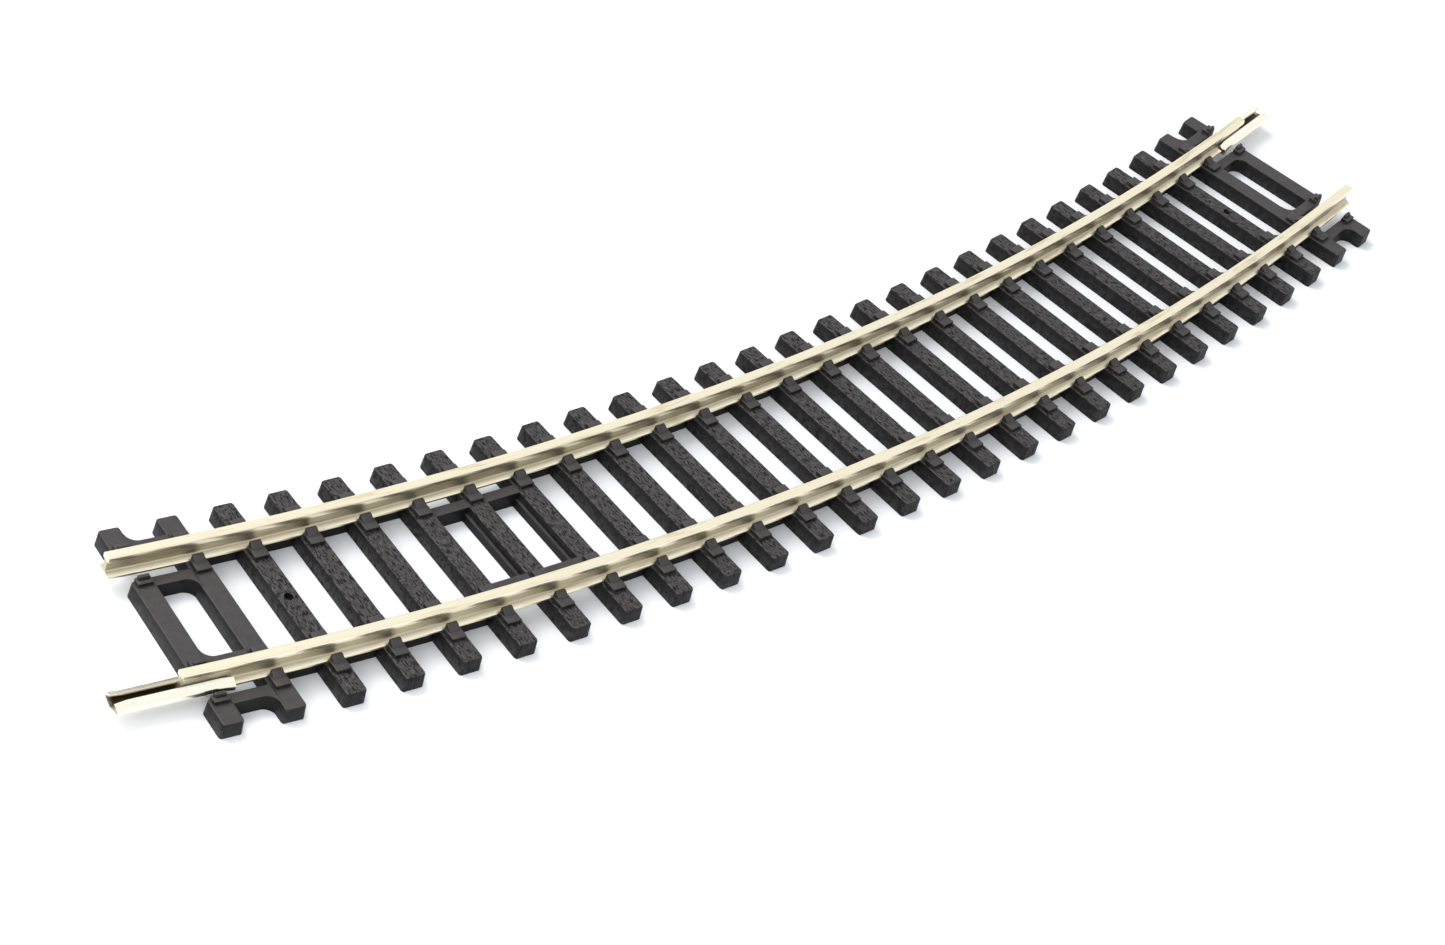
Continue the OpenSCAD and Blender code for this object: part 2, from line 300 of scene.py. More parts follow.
def blend_colour(tree, factor, a, b):
    """Mix of two colours."""
    mix = node(tree, "ShaderNodeMix", {0: factor, 6: a, 7: b}, data_type="RGBA")
    return mix.outputs[2]


def stretched_noise(tree, vector, stretch, scale, detail, roughness=0.55):
    """Noise drawn out along the axes."""
    place = node(tree, "ShaderNodeMapping", {"Vector": vector, "Scale": stretch}).outputs[0]
    inputs = {"Vector": place, "Scale": scale, "Detail": detail, "Roughness": roughness}
    return node(tree, "ShaderNodeTexNoise", inputs).outputs["Fac"]


def wood_grain_group():
    """Moulded wood grain: short dark fibres along local Y with a few pale ones, in millimetres."""
    tree, start, end = socket_group(
        "wood grain", [("Vector", "NodeSocketVector", None), ("Amount", "NodeSocketFloat", 1.0)],
        [("Dark", "NodeSocketFloat"), ("Pale", "NodeSocketFloat")])
    vector, amount = start.outputs["Vector"], start.outputs["Amount"]
    fibres = stretched_noise(tree, vector, stretch=(5.2, 1.2, 1), scale=1.0, detail=3, roughness=0.6)
    checks = stretched_noise(tree, vector, stretch=(4.0, 2.4, 1), scale=1.0, detail=2, roughness=0.5)
    fibre_marks = ramp(tree, fibres, low=0.475, high=0.41)
    check_marks = ramp(tree, checks, low=0.41, high=0.35)
    dark = maths(tree, "MAXIMUM", fibre_marks, check_marks)
    pale = ramp(tree, fibres, low=0.58, high=0.66)
    tree.links.new(maths(tree, "MULTIPLY", dark, amount), end.inputs["Dark"])
    tree.links.new(maths(tree, "MULTIPLY", pale, amount), end.inputs["Pale"])
    return tree


def drawn_lines_group():
    """Fine lines from the drawing die or the rolls, along local X, in millimetres."""
    tree, start, end = socket_group(
        "drawn lines", [("Vector", "NodeSocketVector", None), ("Pitch", "NodeSocketFloat", 0.05)],
        [("Height", "NodeSocketFloat"), ("Stain", "NodeSocketFloat")])
    vector = start.outputs["Vector"]
    across = maths(tree, "DIVIDE", 1.0, start.outputs["Pitch"])
    lines = stretched_noise(tree, vector, stretch=(0.02, 1, 1), scale=across, detail=2, roughness=0.5)
    stain = stretched_noise(tree, vector, stretch=(0.12, 0.9, 0.9), scale=1.1, detail=4, roughness=0.62)
    tree.links.new(lines, end.inputs["Height"])
    tree.links.new(ramp(tree, stain, low=0.5, high=0.72), end.inputs["Stain"])
    return tree


def top_light_and_dust_group():
    """Painted top light: a patchy mask that lightens faces which look up, and a few dust specks."""
    tree, start, end = socket_group(
        "top_light_and_dust", [("Vector", "NodeSocketVector", None), ("Amount", "NodeSocketFloat", 1.0)],
        [("Mask", "NodeSocketFloat"), ("Specks", "NodeSocketFloat")])
    vector, amount = start.outputs["Vector"], start.outputs["Amount"]
    normal = node(tree, "ShaderNodeNewGeometry").outputs["Normal"]
    up = node(tree, "ShaderNodeSeparateXYZ", {0: normal}).outputs["Z"]
    facing = ramp(tree, up, low=0.15, high=0.95)
    cloud = stretched_noise(tree, vector, stretch=(1, 1, 1), scale=0.9, detail=5, roughness=0.65)
    patchy = ramp(tree, cloud, low=0.2, high=0.75, to_low=0.72, to_high=1.0)
    # Painted top light: the more a face looks up, the lighter it is painted.
    top_light_and_dust = maths(tree, "MULTIPLY", patchy, facing)
    speck = node(tree, "ShaderNodeTexVoronoi", {"Vector": vector, "Scale": 1.7}).outputs["Distance"]
    dots = ramp(tree, speck, low=0.035, high=0.065, to_low=1.0, to_high=0.0)
    specks = maths(tree, "MULTIPLY", dots, facing)
    tree.links.new(maths(tree, "MULTIPLY", top_light_and_dust, amount), end.inputs["Mask"])
    tree.links.new(maths(tree, "MULTIPLY", specks, amount), end.inputs["Specks"])
    return tree


def edge_wear_group():
    """Rubbed edges, from the mesh's own edge mask broken up by noise."""
    tree, start, end = socket_group(
        "edge wear", [("Vector", "NodeSocketVector", None), ("Amount", "NodeSocketFloat", 0.6)],
        [("Mask", "NodeSocketFloat")])
    mask = node(tree, "ShaderNodeAttribute", attribute_name="edge_mask").outputs["Fac"]
    cloud = stretched_noise(tree, start.outputs["Vector"], stretch=(1, 1, 1), scale=1.4, detail=4)
    patchy = ramp(tree, cloud, low=0.35, high=0.65)
    worn = maths(tree, "MULTIPLY", ramp(tree, mask, low=0.15, high=0.75), patchy)
    tree.links.new(maths(tree, "MULTIPLY", worn, start.outputs["Amount"]), end.inputs["Mask"])
    return tree


SHARED = {
    "wood grain": wood_grain_group,
    "drawn lines": drawn_lines_group,
    "top_light_and_dust": top_light_and_dust_group,
    "edge wear": edge_wear_group,
}


def shared(tree, name, **inputs):
    """Places a shared node group in a material, with its own values."""
    group = bpy.data.node_groups.get(name) or SHARED[name]()
    made = tree.nodes.new("ShaderNodeGroup")
    made.node_tree = group
    for key, value in inputs.items():
        if isinstance(value, bpy.types.NodeSocket):
            tree.links.new(value, made.inputs[key])
        else:
            made.inputs[key].default_value = value
    return made


def new_material(name):
    """A new material with its tree and its Principled shader, or the one there is with neither."""
    material = bpy.data.materials.get(name)
    if material:
        return material, None, None
    material = bpy.data.materials.new(name)
    material.use_nodes = True
    tree = material.node_tree
    shader = next(n for n in tree.nodes if n.type == "BSDF_PRINCIPLED")
    return material, tree, shader


def rgba(value, shade=1.0):
    """A colour socket's value, from a colour made lighter or darker."""
    return (*(min(1.0, c * shade) for c in value), 1.0)


def pattern_place(tree, on_cad):
    """The pattern's coordinates in millimetres: the piece's own, or the frame's on a CAD node."""
    if not on_cad:
        return node(tree, "ShaderNodeAttribute", attribute_name="own_place").outputs["Vector"]
    place = node(tree, "ShaderNodeTexCoord").outputs["Object"]
    return node(tree, "ShaderNodeMapping", {"Vector": place, "Scale": (1 / MM,) * 3}).outputs[0]


# How far above a sleeper's top its wood grain starts to fade and has gone, in millimetres.
GRAIN_FADE = 0.02, 0.08
# How much lighter or darker than its base colour each mark is.
PALE_FIBRE, DARK_FIBRE, RUBBED_PLASTIC = 1.8, 0.6, 1.3
# On the next line, the last factor darkens the tarnishing colour into the painted shade inside the joiners'
# folds and on the rails' webs.
RUBBED_METAL, METAL_SPECK, METAL_SHADE_AND_TARNISH = 1.08, 0.3, 0.22
DUST_COLOUR = (0.34, 0.31, 0.28)
PLASTIC_WEAR, PLASTIC_DUST, PLASTIC_SHINE = 0.35, 0.35, 0.18
METAL_WEAR, METAL_FILM = 0.6, 0.3


def plastic_material(name, grain, on_cad=False):
    """Satin black moulding with wood grain, dust, painted top light on faces that look up and, on the pieces
    built here, rubbed edges.
    """
    material, tree, shader = new_material(name)
    if tree is None:
        return material
    look = sizes("track_finish")
    place = pattern_place(tree, on_cad)
    if not on_cad:
        level = node(tree, "ShaderNodeSeparateXYZ", {0: place}).outputs["Z"]
        low, high = (sizes("track_sleeper").thickness / MM + fade for fade in GRAIN_FADE)
        grain = ramp(tree, level, low, high, grain, 0.0)
    wood = shared(tree, "wood grain", Vector=place, Amount=grain)
    top_light_and_dust = shared(tree, "top_light_and_dust", Vector=place, Amount=1.0)
    pale = rgba(look.plastic_lit_top, PALE_FIBRE)
    upper = blend_colour(tree, wood.outputs["Pale"], rgba(look.plastic_lit_top), pale)
    upper = blend_colour(tree, wood.outputs["Dark"], upper, rgba(look.plastic, DARK_FIBRE))
    # Painted top light: faces that look up take the lighter top colour, the others keep the black plastic.
    base = blend_colour(tree, top_light_and_dust.outputs["Mask"], rgba(look.plastic), upper)
    if not on_cad:
        wear = shared(tree, "edge wear", Vector=place, Amount=PLASTIC_WEAR)
        base = blend_colour(tree, wear.outputs["Mask"], base, rgba(look.plastic_lit_top, RUBBED_PLASTIC))
    specks = maths(tree, "MULTIPLY", top_light_and_dust.outputs["Specks"], PLASTIC_DUST)
    base = blend_colour(tree, specks, base, rgba(DUST_COLOUR))
    tree.links.new(base, shader.inputs["Base Color"])
    shader.inputs["Specular IOR Level"].default_value = PLASTIC_SHINE
    duller = maths(tree, "MULTIPLY", wood.outputs["Dark"], 0.3)
    rough = maths(tree, "ADD", look.plastic_roughness, duller, clamp=True)
    tree.links.new(rough, shader.inputs["Roughness"])
    stipple = stretched_noise(tree, place, stretch=(1, 1, 1), scale=9, detail=2, roughness=0.5)
    furrow = maths(tree, "MULTIPLY", wood.outputs["Dark"], top_light_and_dust.outputs["Mask"])
    height = maths(tree, "SUBTRACT", maths(tree, "MULTIPLY", stipple, 0.25), furrow)
    bump = node(tree, "ShaderNodeBump", {"Height": height, "Strength": 0.6, "Distance": 0.05 * MM})
    tree.links.new(bump.outputs[0], shader.inputs["Normal"])
    return material


def metal_material(name, base, tarnish_and_shade, roughness, pitch, stained):
    """Drawn or rolled nickel silver, darker with painted shade and tarnishing where the mesh marks it."""
    material, tree, shader = new_material(name)
    if tree is None:
        return material
    place = pattern_place(tree, False)
    lines = shared(tree, "drawn lines", Vector=place, Pitch=pitch)
    top_light_and_dust = shared(tree, "top_light_and_dust", Vector=place, Amount=METAL_FILM)
    wear = shared(tree, "edge wear", Vector=place, Amount=METAL_WEAR)
    stain = maths(tree, "MULTIPLY", lines.outputs["Stain"], stained)
    tint = blend_colour(tree, stain, rgba(base), rgba(tarnish_and_shade))
    tint = blend_colour(tree, wear.outputs["Mask"], tint, rgba(base, RUBBED_METAL))
    tint = blend_colour(tree, top_light_and_dust.outputs["Specks"], tint, rgba(tarnish_and_shade, METAL_SPECK))
    # Painted shade: darker and rougher inside a joiner's fold, and on a rail's web together with tarnishing;
    # the crown is only a little tarnished.
    shade_and_tarnish = node(tree, "ShaderNodeAttribute", attribute_name="shade_and_tarnish").outputs["Fac"]
    tint = blend_colour(tree, shade_and_tarnish, tint, rgba(tarnish_and_shade, METAL_SHADE_AND_TARNISH))
    tree.links.new(tint, shader.inputs["Base Color"])
    shader.inputs["Metallic"].default_value = 1.0
    rough = maths(tree, "ADD", roughness, maths(tree, "MULTIPLY", lines.outputs["Stain"], 0.14))
    rough = maths(tree, "ADD", rough, maths(tree, "MULTIPLY", shade_and_tarnish, 0.3), clamp=True)
    tree.links.new(rough, shader.inputs["Roughness"])
    inputs = {"Height": lines.outputs["Height"], "Strength": 0.35, "Distance": 0.02 * MM}
    bump = node(tree, "ShaderNodeBump", inputs)
    tree.links.new(bump.outputs[0], shader.inputs["Normal"])
    return material


def rail_material():
    """The rails' drawn nickel silver."""
    look = sizes("track_finish")
    return metal_material(
        "drawn nickel silver", look.rail, look.rail_tarnish_and_shade, look.rail_roughness, pitch=0.06, stained=0.55)


def joiner_material():
    """The joiners' rolled sheet."""
    look = sizes("track_finish")
    return metal_material(
        "rolled nickel silver", look.joiner, look.rail_tarnish_and_shade, look.joiner_roughness, pitch=0.1, stained=0.3)


# ---- Sleepers ----------------------------------------------------------------------------------

# The grid that the wood grain is pressed into: squares along the track, and their pitch across it.
GRID_ALONG, GRID_PITCH = 22, 0.32 * MM
# The steps of the rounded top edge: its inset and its drop, in shares of the edge's size.
EDGE_STEPS = ((0.55, 0.08), (0.2, 0.4), (0.0, 1.0))
# The small bevel at the foot, in the same shares.
FOOT_RISE, FOOT_INSET = 0.5, 0.4
# How wide the top is opened for a pin hole, in shares of the hole, and where the opening's rim is
# looked for, in shares of the opening and of the sleeper's width.
HOLE_OPENING, HOLE_RIM, INSIDE_WIDTH = 1.25, 1.2, 0.8
# The grain's noise: its cells to the millimetre along the track and across it.
WANDER_CELLS, FURROW_CELLS, CHECK_CELLS = (0.5, 0.25), (2.4, 0.28), (3.1, 0.75)
WANDER = 0.5
FURROW_SEED, FURROW_DEPTH, FURROW_NARROWING = 7.3, 0.55, 5
CHECK_SEED, CHECK_FROM, CHECK_DEPTH = 21.7, 0.28, 2.2
# What tells one sleeper's grain and patterns from the next one's.
GRAIN_STEP = 13.7
PATTERN_STEP = Vector((31, 17, 0))
PLAIN_GRAIN, TIES_GRAIN = 0.12, 0.1
# The pin holes are in the third sleeper from each end.
HOLED_FROM_END = 2
# A chair's blocks start inside the sleeper, so that nothing shows between them.
CHAIR_FLOOR = -0.12 * MM
CHAIR_EDGE = 0.1 * MM
# Edges that lie wholly below this height above the sleeper's top stay square.
SQUARE_BELOW = 0.2 * MM
# How much shorter a jaw is at its top, and from how far above the chair's base.
JAW_LEAN, LEAN_FROM = 0.12 * MM, 0.01 * MM
# The end sleepers' jaws: room beside the slot, how much lower they are, and how far their sides lean.
SLOT_ROOM, END_JAW_DROP, END_JAW_OUTER_LEAN, END_JAW_INNER_LEAN = 0.04 * MM, 0.1 * MM, 0.14 * MM, 0.06 * MM
TIES = ("strips", "ribs", "ledges")


def flat_top(s, start, end):
    """Half the length along the track and across it of a block's flat top."""
    return s.width / 2 - s.side_draft - s.edge, (end - start) / 2 - s.end_draft - s.edge


def block_top(bm, s, start, end):
    """The flat top of a block of sleeper between two places across the track; gives its points."""
    half = flat_top(s, start, end)
    place = Matrix.Translation((0, (start + end) / 2, s.thickness)) @ Matrix.Diagonal((*half, 1, 1))
    rows = max(6, round((end - start) / GRID_PITCH))
    return bmesh.ops.create_grid(bm, x_segments=GRID_ALONG, y_segments=rows, size=1, matrix=place)["verts"]


def round_plan(verts, middle, half, radius):
    """Brings the points in a rectangle's corners onto round corners."""
    for v in verts:
        x, y = v.co.x, v.co.y - middle
        over = Vector((max(0, abs(x) - half[0] + radius), max(0, abs(y) - half[1] + radius)))
        if min(over) > 0 and over.length > radius:
            over *= 1 - radius / over.length
            v.co.x -= math.copysign(over.x, x)
            v.co.y -= math.copysign(over.y, y)


def lower_rim(bm, rim, s, start, end, inset, z):
    """Extrudes the rim down to z, standing this far inside the block's foot; gives the new rim."""
    made = bmesh.ops.extrude_edge_only(bm, edges=rim)["geom"]
    verts = [g for g in made if isinstance(g, bmesh.types.BMVert)]
    middle = (start + end) / 2
    now = max(v.co.x for v in verts), max(v.co.y for v in verts) - middle
    want = s.width / 2 - inset[0], (end - start) / 2 - inset[1]
    for v in verts:
        v.co = (v.co.x * want[0] / now[0], middle + (v.co.y - middle) * want[1] / now[1], z)
    return [g for g in made if isinstance(g, bmesh.types.BMEdge)]


def cut_pin_hole(bm, s):
    """Opens the top round the pin hole and walls it down to the foot; gives the hole's lower rim."""
    reach = s.pin_hole / 2 * HOLE_OPENING
    inside = [f for f in bm.faces if all(abs(v.co.x) < reach and abs(v.co.y) < reach for v in f.verts)]
    bmesh.ops.delete(bm, geom=inside, context="FACES")
    rim = [e for e in bm.edges if e.is_boundary and abs(e.verts[0].co.y) < reach * HOLE_RIM
           and abs(e.verts[0].co.x) < s.width / 2 * INSIDE_WIDTH]
    for v in {v for e in rim for v in e.verts}:
        flat = Vector((v.co.x, v.co.y, 0)).normalized() * (s.pin_hole / 2)
        v.co.x, v.co.y = flat.x, flat.y
    made = bmesh.ops.extrude_edge_only(bm, edges=rim)["geom"]
    for v in (g for g in made if isinstance(g, bmesh.types.BMVert)):
        v.co.z = 0
    return [g for g in made if isinstance(g, bmesh.types.BMEdge)]


def grain_noise(x, y, cells, seed):
    """Noise at a place on a sleeper's top, with so many cells to the millimetre each way."""
    return noise.noise(Vector((x * cells[0], y * cells[1], seed)))


def carve_grain(verts, s, seed):
    """Presses the wood grain into the top: long shallow furrows and short deep checks."""
    for v in verts:
        x, y = v.co.x / MM, v.co.y / MM
        x += grain_noise(x, y, WANDER_CELLS, seed) * WANDER
        furrow = abs(grain_noise(x, y, FURROW_CELLS, seed + FURROW_SEED))
        check = grain_noise(x, y, CHECK_CELLS, seed + CHECK_SEED)
        depth = FURROW_DEPTH * max(0, 1 - furrow * FURROW_NARROWING)
        depth += CHECK_DEPTH * max(0, check - CHECK_FROM)
        v.co.z -= s.grain_depth * min(1, depth)


def build_block(bm, s, start, end, hole, seed):
    """One block of sleeper; hole opens a pin hole, and a seed carves grain."""
    top = block_top(bm, s, start, end)
    inner = set(top)
    rim = [e for e in bm.edges if e.is_boundary and e.verts[0] in inner]
    edge_verts = {v for e in rim for v in e.verts}
    round_plan(edge_verts, (start + end) / 2, flat_top(s, start, end), s.corner)
    bottom = cut_pin_hole(bm, s) if hole else []
    if seed is not None:
        carve_grain([v for v in top if v.is_valid and v not in edge_verts], s, seed)
    for share_in, share_down in EDGE_STEPS:
        inset = s.side_draft + s.edge * share_in, s.end_draft + s.edge * share_in
        rim = lower_rim(bm, rim, s, start, end, inset, s.thickness - s.edge * share_down)
    rim = lower_rim(bm, rim, s, start, end, (0.0, 0.0), s.edge * FOOT_RISE)
    rim = lower_rim(bm, rim, s, start, end, (s.edge * FOOT_INSET, s.edge * FOOT_INSET), 0)
    bmesh.ops.triangle_fill(bm, use_beauty=True, edges=rim + bottom)


def end_jaw_outline(s, near):
    """Outline of the upright jaw on an end sleeper."""
    top, foot = s.jaw_height - END_JAW_DROP, near + s.end_jaw
    return [(near, CHAIR_FLOOR), (foot, CHAIR_FLOOR), (foot, s.chair_base),
            (foot - END_JAW_OUTER_LEAN, top), (near + END_JAW_INNER_LEAN, top)]


def jaw_outline(s, near):
    """Outline of a jaw that laps the rail's foot."""
    r = sizes("track_rail")
    top, room = s.jaw_height, r.foot_edge + s.chair_room
    slope = (r.foot_root - r.foot_edge) / (r.foot / 2 - r.web / 2)
    return [(near, CHAIR_FLOOR), (s.jaw_reach, CHAIR_FLOOR), (s.jaw_reach, s.chair_base), (s.jaw_front, top),
            (s.jaw_lap, top), (s.jaw_lap, room + slope * (near - s.jaw_lap)), (near, room)]


def chair_half(bm, s, side, half, at_end):
    """One half of a chair beside a rail: a low base and a jaw."""
    near = s.clip_slot / 2 + SLOT_ROOM if at_end else sizes("track_rail").foot / 2 + s.chair_room
    far = s.chair_reach + (s.end_setback if at_end else 0)
    spot = Matrix.Translation((0, -side * sizes("track_curve").rail_offset, s.thickness))
    spot = spot @ Matrix.Diagonal((1, half, 1, 1))
    base = [(near, CHAIR_FLOOR), (far, CHAIR_FLOOR), (far, s.chair_base), (near, s.chair_base)]
    soften(bm, prism(bm, base, s.chair_width, spot), spot)
    jaw = prism(bm, (end_jaw_outline if at_end else jaw_outline)(s, near), s.jaw_length, spot)
    tops = [v for v in jaw if (spot.inverted() @ v.co).z > s.chair_base + LEAN_FROM]
    shorter = 1 - JAW_LEAN / s.jaw_length
    bmesh.ops.scale(bm, vec=(shorter, 1, 1), verts=tops, space=spot.inverted())
    soften(bm, jaw, spot)


def soften(bm, verts, spot):
    """Rounds the upper edges of a chair's block that stands at spot."""
    back = spot.inverted()
    chosen = set(verts)
    edges = [e for e in bm.edges if e.verts[0] in chosen and e.verts[1] in chosen
             and max((back @ v.co).z for v in e.verts) > SQUARE_BELOW]
    round_off(bm, edges, CHAIR_EDGE, "EDGES", segments=2)


def build_sleeper(index, name):
    """One sleeper with its chairs, at its angle; the end ones are cut through at the rails."""
    s = sizes("track_sleeper")
    curve = sizes("track_curve")
    from_end = min(index, len(SLEEPERS) - 1 - index)
    at_end = from_end == 0
    grained = from_end >= curve.smooth_sleepers
    stops = [-s.span / 2, s.span / 2]
    if at_end:
        offset, slot = curve.rail_offset, s.clip_slot / 2
        stops[1:1] = [-offset - slot, -offset + slot, offset - slot, offset + slot]
    seed = index * GRAIN_STEP if grained else None
    bm = bmesh.new()
    for start, end in zip(stops[::2], stops[1::2]):
        build_block(bm, s, start, end, from_end == HOLED_FROM_END, seed)
    for side in (-1, 1):
        for half in (-1, 1):
            chair_half(bm, s, side, half, at_end)
    own_place(bm, PATTERN_STEP * index)
    bmesh.ops.transform(bm, matrix=at_angle(sleeper_angle(index)), verts=bm.verts)
    kind, grain = ("grained", 1.0) if grained else ("plain", PLAIN_GRAIN)
    material = plastic_material(f"moulded black, {kind}", grain)
    return finish_piece(f"{kind}_{name}", bm, material, "track", [name])


class BuildSleepers(bpy.types.Operator):
    """Build the moulded sleepers with their chairs"""
    bl_idname = "track.build_sleepers"
    bl_label = "Build Sleepers"

    def execute(self, context):
        for index, name in enumerate(SLEEPERS):
            build_sleeper(index, name)
        return {"FINISHED"}


class FinishTies(bpy.types.Operator):
    """Give the ribs, strips and ledges between the sleepers their moulded finish"""
    bl_idname = "track.finish_ties"
    bl_label = "Finish Ties"

    def execute(self, context):
        material = plastic_material("moulded black, ties", TIES_GRAIN, on_cad=True)
        for name, piece in frame["nodes"].items():
            if any(word in name for word in TIES):
                piece.data.materials.clear()
                piece.data.materials.append(material)
        return {"FINISHED"}


# ---- Rails -------------------------------------------------------------------------------------

# What rounds the section's corners: the foot's edge below and above, the two fillets, and the head.
FOOT_UNDER, FOOT_OVER, FOOT_FILLET = 0.04 * MM, 0.05 * MM, 0.18 * MM
HEAD_FILLET, HEAD_UNDER, HEAD_OVER = 0.16 * MM, 0.08 * MM, 0.2 * MM
# How much painted shade and tarnishing darken the web, and how tarnished the head's top is.
WEB_SHADE_AND_TARNISH, TOP_TARNISH = 0.5, 0.1
# The web's painted shade and tarnishing start a little above the foot's edge and stop at the head, and the
# top's tarnishing starts near the crown, in shares of the foot's edge, the head's depth and the height.
WEB_FROM, WEB_TO, TOP_FROM = 1.2, 0.99, 0.97
# How far apart the two rails' patterns are, and the two joiners', in millimetres.
RAIL_PATTERN_STEP, JOINER_PATTERN_STEP = 9, 5


def rail_outline(r):
    """Half of the rail's section with square corners, each with the size that it is rounded by."""
    head_z = r.height - r.head_depth
    return [
        (r.foot / 2, 0, FOOT_UNDER), (r.foot / 2, r.foot_edge, FOOT_OVER),
        (r.web / 2, r.foot_root, FOOT_FILLET), (r.web / 2, head_z, HEAD_FILLET),
        (r.head / 2, head_z, HEAD_UNDER), (r.head / 2, r.height, HEAD_OVER)]


def rail_section(bm, r):
    """The rail's whole section as one face with round corners."""
    half = rail_outline(r)
    points = half + [(-u, z, size) for u, z, size in reversed(half)]
    face = outline_face(bm, [(u, z) for u, z, _ in points], Matrix.Identity(4))
    for corner, (_, _, size) in list(zip(face.verts, points)):
        round_off(bm, [corner], size, "VERTICES", segments=4)


def mark_rail(bm, r, side, radius):
    """Writes each point's place along the rail, and how much painted shade and tarnishing darken it."""
    layer = bm.verts.layers.float_vector.new("own_place")
    shade_and_tarnish = bm.verts.layers.float.new("shade_and_tarnish")
    base_z = sizes("track_sleeper").thickness
    for v in bm.verts:
        out = math.hypot(v.co.x, v.co.y) - radius
        along = math.atan2(v.co.x, -v.co.y) * radius
        v[layer] = (along / MM, out / MM + OUTWARD[side] * RAIL_PATTERN_STEP, v.co.z / MM)
        z = v.co.z - base_z
        in_web = r.foot_edge * WEB_FROM < z < r.height - r.head_depth * WEB_TO
        v[shade_and_tarnish] = WEB_SHADE_AND_TARNISH if in_web else TOP_TARNISH if z > r.height * TOP_FROM else 0.0


def build_rail(side):
    """One rail, drawn to its section and bent round the curve."""
    r = sizes("track_rail")
    turn = sizes("track_curve").turn
    radius = rail_radius(side)
    bm = bmesh.new()
    rail_section(bm, r)
    bmesh.ops.translate(bm, vec=(0, -radius, sizes("track_sleeper").thickness), verts=bm.verts)
    bmesh.ops.rotate(bm, cent=(0, 0, 0), matrix=Matrix.Rotation(-turn / 2, 3, "Z"), verts=bm.verts)
    bmesh.ops.spin(
        bm, geom=list(bm.faces) + list(bm.edges) + list(bm.verts), cent=(0, 0, 0), axis=(0, 0, 1),
        angle=turn, steps=r.steps, use_duplicate=False)
    bmesh.ops.holes_fill(bm, edges=[e for e in bm.edges if e.is_boundary], sides=0)
    mark_rail(bm, r, side, radius)
    bmesh.ops.translate(bm, vec=curve_centre(), verts=bm.verts)
    return finish_piece(f"{side}_running_rail", bm, rail_material(), "track", RAILS[side])


class BuildRails(bpy.types.Operator):
    """Build the two drawn rails"""
    bl_idname = "track.build_rails"
    bl_label = "Build Rails"

    def execute(self, context):
        for side in OUTWARD:
            build_rail(side)
        return {"FINISHED"}


# ---- Joiners -----------------------------------------------------------------------------------

# Steps along a joiner, and the size of its folds.
JOINER_STEPS, FOLD = 40, 0.2 * MM
# How much further than the foot's own slope a lip rises.
LIP_RISE = 0.1 * MM


def joiner_section(j, r, depth):
    """Half of a line in the folded sheet, at a depth from its inside, from the floor's middle to the lip."""
    inside, shoulder = r.foot / 2 + j.clearance, r.foot_edge + j.clearance
    rise, run = r.foot_root - r.foot_edge + LIP_RISE, inside - j.slot / 2
    lean = math.atan2(rise, run)
    side, floor = inside + depth, -j.clearance - depth
    turn = shoulder + depth * (1 - math.sin(lean)) / math.cos(lean)
    return [(0, floor), (side, floor), (side, turn),
            (j.slot / 2 + depth * math.sin(lean), shoulder + rise + depth * math.cos(lean))]


def mask_painted_shade(bm, half):
    """Marks the points on the inside of the fold, which lie between the floor and the lips, for painted
    shade.
    """
    layer = bm.verts.layers.float.new("shade_and_tarnish")
    (_, floor), (wall, _), (_, shoulder), (mouth, peak) = half
    for v in bm.verts:
        out = abs(v.co.y)
        roof = shoulder + (wall - out) / (wall - mouth) * (peak - shoulder)
        v[layer] = float(out < wall and floor < v.co.z < min(roof, peak))


def fold_line(bm, j, r):
    """The outside of the sheet's section as a line with round folds, at the joiner's first end."""
    half = joiner_section(j, r, j.sheet)
    points = [(-u, z) for u, z in reversed(half[1:])] + half
    verts = [bm.verts.new((-j.span / 2, -u, z)) for u, z in points]
    for pair in zip(verts, verts[1:]):
        bm.edges.new(pair)
    folds = [v for v in verts[1:-1] if v.co.y != 0]
    round_off(bm, folds, FOLD, "VERTICES", segments=4)


def flare_tips(bm, j):
    """Spreads both ends of the folded sheet."""
    for v in bm.verts:
        beyond = abs(v.co.x) - (j.span / 2 - j.flare)
        if beyond > 0:
            spread = min(1, abs(v.co.y) / (j.slot / 2)) * beyond * math.sin(j.flare_angle)
            back = abs(v.co.y) * math.sin(j.flare_angle) * beyond / j.flare
            v.co.y += math.copysign(spread, v.co.y)
            v.co.x -= math.copysign(back + beyond * (1 - math.cos(j.flare_angle)), v.co.x)


